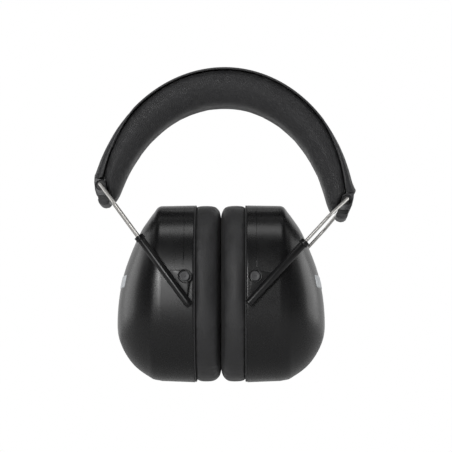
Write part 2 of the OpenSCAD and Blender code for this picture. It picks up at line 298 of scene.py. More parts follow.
def settle(ob, sharp=60):
    """Applies an object's modifiers."""
    dg = bpy.context.evaluated_depsgraph_get()
    me = bpy.data.meshes.new_from_object(ob.evaluated_get(dg))
    ob.modifiers.clear()
    ob.data = me
    finish_mesh(me, sharp)
    return ob


def read(me, key):
    values = np.zeros(len(me.vertices) * 3)
    me.vertices.foreach_get(key, values)
    return values.reshape(-1, 3)


def coords(me):
    return read(me, "co")


def normals(me):
    return read(me, "normal")


def set_coords(me, co):
    me.vertices.foreach_set("co", np.asarray(co, float).ravel())
    me.update()


def pchip(x, y, q):
    """Smooth interpolation that never overshoots."""
    h = np.diff(x)
    d = np.diff(y) / h
    m = np.concatenate([[d[0]], np.zeros(len(d) - 1), [d[-1]]])
    for i in range(1, len(d)):
        if d[i - 1] * d[i] > 0:
            w1, w2 = 2 * h[i] + h[i - 1], h[i] + 2 * h[i - 1]
            m[i] = (w1 + w2) / (w1 / d[i - 1] + w2 / d[i])
    i = np.clip(np.searchsorted(x, q, side="right") - 1, 0, len(h) - 1)
    t = (q - x[i]) / h[i]
    return ((1 + 2 * t) * (1 - t) ** 2 * y[i] + t * (1 - t) ** 2 * h[i] * m[i]
            + t * t * (3 - 2 * t) * y[i + 1] + t * t * (t - 1) * h[i] * m[i + 1])


def smoothstep(x):
    x = np.clip(x, 0, 1)
    return x * x * (3 - 2 * x)


def wave_noise(p, scale, seed, octaves=3):
    """Smooth seeded noise from a few plane waves, about -1 to 1."""
    g = np.random.default_rng(seed)
    total = np.zeros(len(p))
    for o in range(octaves):
        for _ in range(7):
            k = g.normal(size=3)
            k = k / np.linalg.norm(k) * 2 * math.pi / (scale / 1.9**o) * g.uniform(0.7, 1.3)
            total += np.sin(p @ k + g.uniform(0, 6.28)) / 1.9**o
    return total / 6.0


# ---------------- materials
def principled(name, rough, metallic=0.0, specular=0.5, sheen=0.0):
    m = bpy.data.materials.new(name)
    m.use_nodes = True
    b = m.node_tree.nodes["Principled BSDF"]
    b.inputs["Roughness"].default_value = rough
    b.inputs["Metallic"].default_value = metallic
    b.inputs["Specular IOR Level"].default_value = specular
    b.inputs["Sheen Weight"].default_value = sheen
    return m


def add(m, kind, **sets):
    n = m.node_tree.nodes.new(kind)
    for k, v in sets.items():
        if k in n.inputs:
            n.inputs[k].default_value = v
        else:
            setattr(n, k, v)
    return n


def wire_up(m, a, b):
    m.node_tree.links.new(a, b)


def millimetres(m, stretch=(1, 1, 1)):
    """Object coordinates in mm, so that a pattern's size can be given in mm."""
    tc = add(m, "ShaderNodeTexCoord")
    mp = add(m, "ShaderNodeMapping")
    mp.inputs["Scale"].default_value = [1000 * k for k in stretch]
    wire_up(m, tc.outputs["Object"], mp.inputs["Vector"])
    return mp.outputs["Vector"]


def noise(m, vec, size, detail=3.0, rough=0.55):
    n = add(m, "ShaderNodeTexNoise", Scale=1.0 / size, Detail=detail, Roughness=rough)
    wire_up(m, vec, n.inputs["Vector"])
    return n.outputs["Fac"]


def voronoi(m, vec, size, feature="F1", jitter=1.0):
    n = add(m, "ShaderNodeTexVoronoi", Scale=1.0 / size, Randomness=jitter)
    n.feature = feature
    wire_up(m, vec, n.inputs["Vector"])
    return n.outputs["Distance"]


def remap(m, fac, low, high, from_low=0.3, from_high=0.7):
    n = m.node_tree.nodes.new("ShaderNodeMapRange")
    n.inputs["From Min"].default_value = from_low
    n.inputs["From Max"].default_value = from_high
    n.inputs["To Min"].default_value = low
    n.inputs["To Max"].default_value = high
    wire_up(m, fac, n.inputs["Value"])
    return n.outputs["Result"]


def math_node(m, op, a, b):
    n = m.node_tree.nodes.new("ShaderNodeMath")
    n.operation = op
    for i, v in enumerate((a, b)):
        if isinstance(v, (int, float)):
            n.inputs[i].default_value = v
        else:
            wire_up(m, v, n.inputs[i])
    return n.outputs[0]


def tint(m, fac, dark, light):
    n = m.node_tree.nodes.new("ShaderNodeValToRGB")
    n.color_ramp.elements[0].position, n.color_ramp.elements[1].position = 0.3, 0.7
    n.color_ramp.elements[0].color = (*dark, 1)
    n.color_ramp.elements[1].color = (*light, 1)
    wire_up(m, fac, n.inputs["Fac"])
    wire_up(m, n.outputs["Color"], m.node_tree.nodes["Principled BSDF"].inputs["Base Color"])


def bump(m, height, deep_mm, strength=1.0, under=None):
    n = m.node_tree.nodes.new("ShaderNodeBump")
    n.inputs["Strength"].default_value = strength
    n.inputs["Distance"].default_value = deep_mm * MM
    wire_up(m, height, n.inputs["Height"])
    if under is not None:
        wire_up(m, under, n.inputs["Normal"])
    return n.outputs["Normal"]


def to(m, socket, out):
    wire_up(m, out, m.node_tree.nodes["Principled BSDF"].inputs[socket])


def leatherette(name, dark, light, rough, cell, deep):
    """Embossed leatherette: pebbles of size cell, pressed deep mm into it, and broad uneven shine."""
    m = principled(name, rough, specular=0.5, sheen=0.05)
    v = millimetres(m)
    warp = add(m, "ShaderNodeTexNoise", Scale=0.45, Detail=2.0)
    wire_up(m, v, warp.inputs["Vector"])
    mixed = m.node_tree.nodes.new("ShaderNodeVectorMath")
    mixed.operation = "MULTIPLY_ADD"
    mixed.inputs[1].default_value = (0.9, 0.9, 0.9)
    wire_up(m, warp.outputs["Color"], mixed.inputs[0])
    wire_up(m, v, mixed.inputs[2])
    vec = mixed.outputs[0]
    pebble = remap(m, voronoi(m, vec, cell, "DISTANCE_TO_EDGE"), 0, 1, 0.0, 0.22)
    fine = noise(m, v, 0.3, 2.0)
    broad = noise(m, v, 9.0, 3.0)
    tint(m, broad, dark, light)
    shine = math_node(m, "ADD", math_node(m, "MULTIPLY", pebble, -0.25), broad)
    to(m, "Roughness", remap(m, shine, rough - 0.07, rough + 0.1, 0.2, 0.65))
    low = bump(m, broad, 0.25, 0.35)
    mid = bump(m, pebble, deep, 0.8, low)
    to(m, "Normal", bump(m, fine, deep * 0.4, 0.5, mid))
    return m


def moulded(name, dark, light, rough, grain=0.35, deep=0.02, scuff=0.06):
    """Moulded plastic: spark-eroded grain, faint long scuffs and a little handling shine."""
    m = principled(name, rough)
    v = millimetres(m)
    fine = noise(m, v, grain, 2.0, 0.6)
    broad = noise(m, v, 16.0, 3.0)
    marks = noise(m, millimetres(m, (1.0, 0.06, 1.0)), 1.2, 4.0, 0.7)
    tint(m, broad, dark, light)
    worn = math_node(m, "ADD", math_node(m, "MULTIPLY", marks, 0.5),
                     math_node(m, "MULTIPLY", broad, 0.5))
    to(m, "Roughness", remap(m, worn, rough - scuff, rough + scuff, 0.32, 0.68))
    to(m, "Normal", bump(m, fine, deep, 0.5))
    return m


def steel(name, dark, light, rough, across=0.4, deep=0.001, metallic=1.0):
    """Drawn or rolled steel with fine lines in it and slight smudges."""
    m = principled(name, rough, metallic=metallic)
    lines = noise(m, millimetres(m), across, 2.0, 0.5)
    smudge = noise(m, millimetres(m), 6.0, 3.0)
    tint(m, smudge, dark, light)
    to(m, "Roughness", remap(m, math_node(m, "ADD", lines, smudge), rough - 0.04, rough + 0.06, 0.75, 1.25))
    to(m, "Normal", bump(m, lines, deep, 0.4))
    return m


def thread(name):
    m = principled(name, 0.75, specular=0.3, sheen=0.3)
    tint(m, noise(m, millimetres(m), 1.5), (0.012, 0.012, 0.012), (0.03, 0.03, 0.03))
    to(m, "Normal", bump(m, noise(m, millimetres(m, (1, 1, 3)), 0.25), 0.05, 0.8))
    return m


def foam(name):
    m = principled(name, 0.95, specular=0.2, sheen=0.2)
    v = millimetres(m)
    cells = voronoi(m, v, 1.1, "F1")
    tint(m, cells, (0.012, 0.012, 0.013), (0.06, 0.06, 0.065))
    big = bump(m, noise(m, v, 3.0), 0.4, 0.4)
    to(m, "Normal", bump(m, cells, 0.5, 1.0, big))
    return m


COVER = leatherette("cover_leatherette", (0.030, 0.030, 0.032), (0.038, 0.038, 0.041),
                    rough=0.5, cell=1.0, deep=0.08)
PAD = leatherette("pad_leatherette", (0.034, 0.034, 0.036), (0.044, 0.044, 0.046),
                  rough=0.45, cell=1.1, deep=0.24)
SEAL = leatherette("cushion_leatherette", (0.030, 0.030, 0.031), (0.038, 0.038, 0.040),
                   rough=0.48, cell=0.8, deep=0.06)
# painted highlight: the piping is coloured lighter than the pad so that the welted edge shows as a light
# line
PIPING_PAINTED_HIGHLIGHT = moulded("piping_vinyl", (0.045, 0.045, 0.046), (0.055, 0.055, 0.056),
                 rough=0.4, grain=0.5, deep=0.03)
SHELL = moulded("shell_plastic", (0.0065, 0.0065, 0.0070), (0.0085, 0.0085, 0.0091),
                rough=0.28, grain=0.32, deep=0.012, scuff=0.05)
BLOCK_MAT = moulded("block_plastic", (0.075, 0.075, 0.079), (0.09, 0.09, 0.094), rough=0.4, grain=0.4)
ARM = moulded("arm_plastic", (0.006, 0.006, 0.0065), (0.009, 0.009, 0.0095),
              rough=0.3, grain=0.5, deep=0.006, scuff=0.03)
STUD = moulded("stud_plastic", (0.05, 0.05, 0.053), (0.06, 0.06, 0.064), rough=0.38, deep=0.015)
PLATE = moulded("plate_plastic", (0.015, 0.015, 0.016), (0.02, 0.02, 0.021),
                rough=0.5, grain=0.4, deep=0.03)
BADGE = moulded("badge_print", (0.66, 0.70, 0.73), (0.72, 0.75, 0.78),
                rough=0.35, grain=0.4, deep=0.01, scuff=0.04)
WIRE = steel("wire_steel", (0.62, 0.605, 0.58), (0.70, 0.685, 0.66), rough=0.38, deep=0.0002, metallic=0.7)
SPRING = steel("spring_steel", (0.42, 0.42, 0.43), (0.52, 0.52, 0.52), rough=0.32, deep=0.01)
RIVET = steel("rivet_steel", (0.5, 0.5, 0.5), (0.6, 0.6, 0.6), rough=0.3)
THREAD = thread("thread")
FOAM = foam("liner_foam")


# ---------------- soft goods
CLOTH_FRAMES = 20
SIDEWAYS = 0.15  # the share of a cloth movement along the surface that is kept
PUCKER = 6.3  # mm between two puckers along a sewn edge
STITCH = 2.15  # degrees between two stitches


def inflate(ob, voxel, cap, pinned, pressure=4.0, grow=5.0):
    """Remeshes a piece and blows it up as cloth, at grow times its size, then limits how far it swells.

    voxel and cap are in metres. Only the movement along the surface's own normal is kept in full, so that
    a long piece swells without drifting along its seams.
    """
    r = ob.modifiers.new("remesh", "REMESH")
    r.mode = "VOXEL"
    r.voxel_size = voxel
    settle(ob)
    me = ob.data
    start, out = coords(me), normals(me)
    set_coords(me, start * grow)
    weight = pinned(start / MM)
    vg = ob.vertex_groups.new(name="pin")
    for i in np.nonzero(weight > 0.01)[0]:
        vg.add([int(i)], float(weight[i]), "REPLACE")
    c = ob.modifiers.new("cloth", "CLOTH")
    s = c.settings
    s.quality = 6
    s.mass = 0.25
    s.tension_stiffness = s.compression_stiffness = 12
    s.shear_stiffness = 4
    s.bending_stiffness = 0.4
    s.use_pressure = True
    s.uniform_pressure_force = pressure
    s.effector_weights.gravity = 0
    s.vertex_group_mass = "pin"
    c.collision_settings.use_collision = False
    scene = bpy.context.scene
    for f in range(1, CLOTH_FRAMES + 1):
        scene.frame_set(f)
    dg = bpy.context.evaluated_depsgraph_get()
    got = ob.evaluated_get(dg).to_mesh()
    after = coords(got) / grow
    ob.evaluated_get(dg).to_mesh_clear()
    ob.modifiers.clear()
    ob.vertex_groups.clear()
    scene.frame_set(1)
    move = after - start
    outward = np.sum(move * out, axis=1, keepdims=True) * out
    move = outward + SIDEWAYS * (move - outward)
    far = np.linalg.norm(move, axis=1, keepdims=True)
    move *= np.tanh(far / cap) * cap / np.maximum(far, 1e-9)
    set_coords(me, start + move)
    sub = ob.modifiers.new("sub", "SUBSURF")
    sub.levels = sub.render_levels = 1
    settle(ob, 80)
    return ob


def push(ob, amount):
    """Moves each point along its normal by amount mm."""
    co, no = coords(ob.data), normals(ob.data)
    set_coords(ob.data, co + no * np.asarray(amount)[:, None] * MM)


def band_param(p):
    """For points in mm on the headband: angle along it, y, and depth below its outer curve."""
    c, k = math.cos(LEAN), math.sin(LEAN)
    x = p[:, 0] * c - p[:, 2] * k
    z = p[:, 0] * k + p[:, 2] * c
    t = np.degrees(np.arctan2(x / 85.6, (z - 20.8 + 99.7) / 99.7))
    # a few steps to the angle whose inward line passes through the point; 90 is about the curve's radius
    for _ in range(4):
        o, d = outer_at(t), inward(t)
        side = (x - o[:, 0]) * -d[:, 1] + (z - o[:, 1]) * d[:, 0]
        t = t + np.degrees(side / 90.0)
    o, d = outer_at(t), inward(t)
    return t, p[:, 1], (x - o[:, 0]) * d[:, 0] + (z - o[:, 1]) * d[:, 1]


def pad_end(ring, s):
    """Rings that close one end of the pad with a soft bulge towards the block."""
    p = np.array(ring)
    top, low = p[0][[0, 2]], p[len(p) // 2][[0, 2]]
    along = np.linalg.norm(low - top)
    u = (low - top) / along
    n = np.array([-u[1], u[0]]) * s
    mid = p.mean(0)
    rings = []
    for share in (0.97, 0.88, 0.72, 0.5, 0.25, 0.04):
        q = mid + (p - mid) * share
        f = ((q[:, [0, 2]] - top) @ u) / along
        rise = np.clip(-0.6 + 3.1 * f, 0, 2.1) * smoothstep((1.0 - f) / 0.12)
        rise *= smoothstep((13.5 - np.abs(q[:, 1])) / 4)
        q[:, [0, 2]] += n * rise[:, None]
        rings.append(q)
    return rings


def pad_piece():
    """The band's foam pad, from a slightly smaller shape blown up against its seams."""
    turns = np.linspace(-REACH + 0.2, REACH - 0.2, 110)
    rings = []
    for t in turns:
        o = seam_at(t * 0.955)
        d = inner_at(t) - o
        w, deep = pad_half(t) - 1.0, np.linalg.norm(d) + 0.55
        d /= np.linalg.norm(d)
        # half of the section, as y and depth: flat top, full side, soft base
        half = [[7.5, 0.15], [w - 2.0, 0.15], [w - 1.2, 0.9], [w - 0.5, 2.8], [w + 0.7, 0.36 * deep],
                [w + 0.9, deep - 9.4], [w - 0.5, deep - 5.8], [w - 2.9, deep - 2.9], [w - 6.2, deep - 0.9],
                [w - 11, deep]]
        ring = [[o[0] + d[0] * (q[1] + 0.15), q[0], o[1] + d[1] * (q[1] + 0.15)] for q in half]
        rings.append(ring + [[p[0], -p[1], p[2]] for p in ring[::-1]])
    rings = pad_end(rings[0], -1)[::-1] + rings + pad_end(rings[-1], 1)
    v, f = loft(rings)
    ob = build("headband_pad_soft", (on_band(v), f), PAD)

    def pinned(p):
        t, _, deep = band_param(p)
        return np.clip(1.6 - (deep - swell(t)) / 1.5, 0, 1)

    inflate(ob, 0.0026, 0.0012, pinned)
    p = coords(ob.data) / MM
    t, y, deep = band_param(p)
    low = deep - swell(t)
    arc = t * 1.56
    side = smoothstep((np.abs(y) - 12) / 4)
    # puckers along the sewn edge, then soft creases across the compressed inner side
    pucker = np.sin(arc * 2 * math.pi / PUCKER + 1.3 * np.sin(arc / 9))
    pucker *= np.exp(-np.maximum(0, low - 0.8) / 2.6)
    amount = -0.22 * (0.5 + 0.5 * pucker) * side * (low > 0.2)
    under = smoothstep((low / pad_deep(t) - 0.62) / 0.25)
    for k in range(26):
        g = np.random.default_rng(100 + k)
        at, half, mid = g.uniform(-104, 104), g.uniform(6, 15), g.uniform(-12, 12)
        width = g.uniform(0.9, 2.2)
        bend = g.uniform(-0.12, 0.12)
        line = (arc - at - bend * (y - mid)) / width
        amount -= g.uniform(0.04, 0.15) * np.exp(-line**2) * np.exp(-((y - mid) / half) ** 4) * under
    amount += 0.12 * wave_noise(p, 22, 5)
    push(ob, amount)
    place(ob, "headband", "headband_pad", slot="pad_leatherette")
    return ob


def cover_shape(t, across, lift=0.0):
    """A point on the cover's outside in the band's own frame: across runs from -1 to 1 over its width."""
    w = float(pad_half(t)) - COVER_IN
    h = max(0.0, 1 - abs(across) ** 6.5) ** 0.42
    y = w * across
    groove = 0.28 * math.exp(-(((w - abs(y) - STITCH_IN) / 0.45) ** 2))
    crown = 0.35 * (1 - across * across) * (1 - abs(t) / REACH)
    ts = t * (0.965 + 0.035 * h)
    low, up = seam_at(np.float64(ts)), outer_at(np.float64(t))
    d = inward(np.float64(t))
    # the right mouth stands open a little more than the left
    hem = (1.2 if t > 0 else 0.15) * float(smoothstep((abs(t) - REACH + 4.5) / 4.5)) * h
    p = low + (up - low) * h - d * (crown * 0.3 + hem - groove * min(1.0, h * 1.2) + lift)
    return p[0], y, p[1]


def cover_piece():
    """The outer cover: a thin sheet, tucked in along both seams, that opens into a sleeve at each end."""
    thick = 0.95
    mouth = [0, 0.15, 0.5]
    turns = np.array([*(k - REACH for k in mouth), *np.linspace(-REACH + 1.2, REACH - 1.2, 170),
                      *(REACH - k for k in mouth[::-1])])
    across = np.sin(np.linspace(-math.pi / 2, math.pi / 2, 61))
    edge = REACH - np.abs(turns)
    outside, inside = [], []
    for t, e in zip(turns, edge):
        roll = 0.3 * math.exp(-((e - 0.5) / 0.5) ** 2) if e < 1.5 else 0.0
        ring = [cover_shape(t, a, roll) for a in across]
        outside.append(ring)
        inner = []
        for a, p in zip(across, ring):
            d = inward(np.float64(t))
            c = max(0.0, 1 - abs(a) ** 8)
            sink = thick * (0.25 + 0.75 * c) - (roll if e < 1.5 else 0) * 0.4
            tuck = math.copysign(min(abs(p[1]), thick * abs(a) ** 6), p[1])
            inner.append([p[0] + d[0] * sink, p[1] - tuck, p[2] + d[1] * sink])
        inside.append(inner)
    rings = [list(o) + list(i)[::-1] for o, i in zip(outside, inside)]
    v, f = loft(rings, caps=False)
    n = 2 * len(across)
    m = len(across)
    for base in (0, (len(rings) - 1) * n):
        for i in range(m - 1):
            f.append((base + i, base + i + 1, base + n - 2 - i, base + n - 1 - i))
    v = on_band(v)
    ob = build("headband_cover_soft", (v, f), COVER, 75)
    p = coords(ob.data) / MM
    t, y, _ = band_param(p)
    soft = smoothstep((np.abs(t) - 48) / 14)
    w = pad_half(t)
    arc = t * 1.7
    near = np.exp(-((w - np.abs(y) - 2.4) / 1.6) ** 2)
    pucker = 0.5 + 0.5 * np.sin(arc * 2 * math.pi / PUCKER)
    push(ob, 0.1 * wave_noise(p, 30, 9) * (0.3 + soft) - 0.07 * near * pucker)
    place(ob, "headband", "headband_cover", slot="cover_leatherette")
    return ob


def stitches():
    """Lock stitches in the channel along both edges of the cover."""
    parts = []
    angle = -REACH + 2.2
    while angle < REACH - 2.2:
        for side in (-1, 1):
            w = float(pad_half(angle)) - COVER_IN
            a = side * (w - STITCH_IN) / w
            span = 0.78
            pts = []
            for k in range(7):
                u = k / 6 * 2 - 1
                pts.append(cover_shape(angle + u * span, a, 0.16 * (1 - u**4) - 0.12))
            parts.append(sweep(pts, 0.19, (0, 1, 0), 6))
        angle += STITCH
    v, f = join(*parts)
    ob = build("headband_stitching", (on_band(v), f), THREAD)
    return place(ob, "headband")


def piping_piece(side, name):
    """Welted edge between cover and pad, pulled in a little at every stitch."""
    turns = np.linspace(-REACH, REACH, 260)
    s = turns * 0.96
    p, d = seam_at(s), inward(s)
    y = side * (pad_half(turns) - 0.5)
    rings = []
    for i in range(len(turns)):
        end = min(1.0, (REACH - abs(turns[i])) / 0.4 + 0.35)
        ripple = 1 + 0.035 * math.sin(turns[i] * 1.6 * 2 * math.pi / STITCH)
        r = 0.66 * end * ripple
        ring = []
        for a in np.arange(12) * math.pi / 6:
            down = r * math.sin(a) - 0.15
            ring.append([p[i, 0] + d[i, 0] * down, y[i] + r * math.cos(a), p[i, 1] + d[i, 1] * down])
        rings.append(ring)
    v, f = loft(rings)
    # the welt's lighter colour is a painted highlight along the seam
    ob = build(name + "_welt", (on_band(v), f), PIPING_PAINTED_HIGHLIGHT, 80)
    return place(ob, "headband", name, slot="piping_vinyl")


def oval(half_y, half_z, square, steps):
    a = -2 * math.pi * np.arange(steps) / steps
    c, k = np.cos(a), np.sin(a)
    return np.stack([half_y * np.sign(c) * np.abs(c) ** (2 / square),
                     half_z * np.sign(k) * np.abs(k) ** (2 / square)], 1)


def even(points):
    """A closed outline with its points spread evenly."""
    p = np.vstack([points, points[:1]])
    s = np.concatenate([[0], np.cumsum(np.linalg.norm(np.diff(p, axis=0), axis=1))])
    q = np.linspace(0, s[-1], len(points) + 1)[:-1]
    return np.stack([np.interp(q, s, p[:, k]) for k in range(p.shape[1])], 1)


def cushion_piece(s, word):
    """The ring of foam that seals round the ear, blown up on its base, and the welt under its edge."""
    outside, inside = oval(*CUSHION, SQUARE, 140), oval(*EAR_HOLE, 2.3, 140)
    # share of the way from the outer oval to the inner one, and distance from the meeting plane
    section = [(0.045, 16.1), (0.034, 13), (0.03, 8), (0.034, 5.0), (0.05, 3.4), (0.1, 2.5), (0.2, 2.0),
               (0.34, 1.5), (0.45, 0.95), (0.7, 0.95), (0.865, 2.3), (0.95, 5.2), (0.965, 9), (0.95, 13),
               (0.925, 16.1)]
    rings = []
    for o, i in zip(outside, inside):
        # the rounding towards the other cushion is tighter at top and bottom than at the sides
        tight = 0.6 + 0.4 * (o[0] / CUSHION[0]) ** 2
        rings.append([[out * (tight if out < 6 and share < 0.4 else 1), *(o + (i - o) * share)]
                      for share, out in section])
    v, f = loft(rings, loop=True)
    ob = build(word + "_ear_cushion_soft", (on_cup(v, s), f), SEAL)

    def local(p):
        return np.stack([(p[:, 0] - MEET_X) * s, p[:, 1], p[:, 2] - CUP_Z], 1)

    def measures(q):
        """Angle round the cup, and a ring measure that is 1 halfway over the cushion."""
        turn = np.arctan2(q[:, 2] / CUSHION[1], q[:, 1] / CUSHION[0])
        return turn, np.sqrt((q[:, 1] / CUSHION_MID[0]) ** 2 + (q[:, 2] / CUSHION_MID[1]) ** 2)

    inflate(ob, 0.0022, 0.00125, lambda p: np.clip((local(p)[:, 0] - 13.4) / 1.6, 0, 1), 5.0)
    q = local(coords(ob.data) / MM)
    phi, ring = measures(q)
    front = smoothstep((7 - q[:, 0]) / 5)
    base = smoothstep((q[:, 0] - 8) / 7)
    crease = 0.10 * np.sin(phi * 31 + 2.1 * np.sin(3 * phi + s)) * front * smoothstep((1.02 - ring) / 0.35)
    tuck = 0.13 * np.sin(phi * 47 + 1.7 * np.sin(5 * phi)) * base * smoothstep((ring - 0.9) / 0.2)
    push(ob, crease - np.abs(tuck) + 0.13 * wave_noise(q, 24, 21 + s))
    q = local(coords(ob.data) / MM)
    phi, ring = measures(q)
    # the faces touch out to this ring, and leave a slot beyond it that is deepest at the sides
    bottom = 1.17 - 0.27 * np.cos(phi) ** 2
    q[:, 0] = np.clip(q[:, 0], 0.15 + 1.7 * smoothstep((ring - bottom) / 0.3), 16.3)
    set_coords(ob.data, on_cup(q, s) * MM)
    place(ob, word + "_cup", word + "_ear_cushion", slot="cushion_leatherette")

    welt = []
    for p in even(oval(*WELT, SQUARE, 220)):
        n = p / np.array(WELT) ** 2
        n /= np.linalg.norm(n)
        welt.append([[WELT_X + WELT_R * math.cos(a), *(p + n * WELT_R * math.sin(a))]
                     for a in np.arange(10) * math.pi / 5])
    v, f = loft(welt, loop=True)
    place(build(word + "_cushion_welt", (on_cup(v, s), f), SEAL, 80), word + "_cup")
    return ob


def inside_of(out, wall):
    """How far out the dome's inner face lies behind a row of its outer face."""
    return out - wall * max(0, (out - 36) / 29.9)


def liner_piece(s, word):
    """Open-cell foam pressed into the dome, slightly bowed towards the ear."""
    wall, steps = 3.3, 96
    rings = []
    for share in np.linspace(0.02, 1, 15):
        bow = 1.1 * (1 - share**2)
        flat = oval((43.2 - wall - 0.5) * share, (55.1 - wall - 0.5) * share, SQUARE, steps)
        rings.append([[38.6 - bow, *p] for p in flat])
    for row in DOME[2:11]:
        out = inside_of(row[0], wall) - 0.2
        if out <= 39.2:
            continue
        mid = (row[2] + row[3]) / 2
        rings.append([[out, p[0], p[1] + mid]
                      for p in oval(row[1] - wall - 0.3, (row[2] - row[3]) / 2 - wall - 0.3, row[4],
                                    steps)])
    v, f = loft(rings)
    ob = build(word + "_foam_liner_soft", (on_cup(v, s), f), FOAM)
    r = ob.modifiers.new("remesh", "REMESH")
    r.mode = "VOXEL"
    r.voxel_size = 0.0018
    settle(ob, 80)
    p = coords(ob.data) / MM
    push(ob, 0.22 * wave_noise(p, 5, 40 + s) + 0.14 * wave_noise(p, 12, 50 + s) - 0.1)
    place(ob, word + "_cup", word + "_foam_liner", slot="liner_foam")
    return ob


# ---------------- hard parts
def shell_piece(s, word):
    """The cup's shell: rounded rim, straight side with a mould line, dome, and an inner face."""
    arc = np.concatenate([[0], np.cumsum(np.hypot(np.diff(DOME[:, 0]), np.diff(DOME[:, 2])))])
    lip = [(RIM, 0.4), (16.53, 0.26), (16.6, 0.13), (16.72, 0.04)]
    straight = [16.9, 17.5, 19, 20.6, 22.2, 22.38, 22.48, 22.62, 22.72, 22.9, 24.5, 27, 30, 33, 36.4]
    mould_line = (22.48, 22.62)
    side = lip + [(out, 0) for out in straight]
    steps = 208
    rings = []

    def ring(out, half, top, low, square, inset):
        mid = (top + low) / 2
        o = oval(half - inset, (top - low) / 2 - inset, square, steps)
        return np.stack([np.full(steps, out), o[:, 0], o[:, 1] + mid], 1)

    for out, inset in side:
        k = (out - RIM) / (DOME[1, 0] - RIM)
        row = DOME[0] + (DOME[1] - DOME[0]) * k
        r = ring(out, *row[1:], inset)
        if out in mould_line:
            fade = smoothstep((r[:, 2] - 12) / 14)[:, None]
            mid = np.array([out, 0, 0])
            r = r + (mid - r) * np.array([0, 1, 1]) * fade * 0.0034
        rings.append(r)
    q = np.concatenate([np.linspace(arc[1], arc[4], 15), np.linspace(arc[4], arc[-2], 46)[1:],
                        np.linspace(arc[-2], arc[-1], 3)[1:]])      # rows lie closer on the dome's corner
    rows = np.stack([pchip(arc, DOME[:, k], q) for k in range(5)], 1)
    for row in rows:
        rings.append(ring(*row, 0))
    wall = 2.8
    inner = [ring(inside_of(row[0], wall), *row[1:], wall) for row in DOME[1:12]]
    lips = [ring(out, *DOME[0][1:], inset) for out, inset in ((RIM, 2.2), (16.65, 2.65), (16.95, wall))]
    v, f = loft(rings[::-1] + lips + inner)
    ob = build(word + "_cup_shell_form", (on_cup(v, s), f), SHELL, 50)
    place(ob, word + "_cup", word + "_cup_shell", slot="shell_plastic")
    return ob


def badge_piece(s, word, shell):
    """A plain pale bar laid on the dome's outer face, its own surface taken from the dome's."""
    tree = BVHTree.FromObject(shell, bpy.context.evaluated_depsgraph_get())
    half_y, half_z, mid, corner = 23.0, 4.0, 6.5, 1.2
    ys, zs = np.linspace(-half_y, half_y, 70), np.linspace(-half_z, half_z, 15)
    top, low = [], []
    for y in ys:
        for z in zs:
            dy, dz = max(0, abs(y) - half_y + corner), max(0, abs(z) - half_z + corner)
            long = math.hypot(dy, dz)
            if long > corner:
                y2 = math.copysign(half_y - corner + dy * corner / long, y)
                z2 = math.copysign(half_z - corner + dz * corner / long, z)
            else:
                y2, z2 = y, z
            edge = min(half_y - abs(y), half_z - abs(z))
            rise = 0.36 * smoothstep((edge + 0.05) / 0.45) - 0.02
            o = on_cup([[90, y2, mid + z2]], s)[0] * MM
            hit, n, _, _ = tree.ray_cast(Vector(o), Vector((-s, 0, 0)))
            if n.x * s < 0:
                n = -n
            top.append(np.array(hit + n * rise * MM) / MM)
            low.append(np.array(hit - n * 0.5 * MM) / MM)
    a, b = len(ys), len(zs)
    faces = []
    for i in range(a - 1):
        for j in range(b - 1):
            q = (i * b + j, i * b + j + 1, (i + 1) * b + j + 1, (i + 1) * b + j)
            faces += [q, tuple(k + a * b for k in q[::-1])]
    rim = ([i * b for i in range(a)] + [(a - 1) * b + j for j in range(1, b)]
           + [i * b + b - 1 for i in range(a - 2, -1, -1)] + [j for j in range(b - 2, 0, -1)])
    for i, k in enumerate(rim):
        j = rim[(i + 1) % len(rim)]
        faces.append((k, j, j + a * b, k + a * b))
    ob = build(word + "_badge_bar", (np.vstack([top, low]), faces), BADGE, 60)
    return place(ob, word + "_cup", word + "_badge", slot="badge_print")


def boolean(ob, cutter):
    b = ob.modifiers.new("cut", "BOOLEAN")
    b.operation, b.solver, b.object = "DIFFERENCE", "EXACT", cutter
    settle(ob, 30)
    bpy.data.objects.remove(cutter)


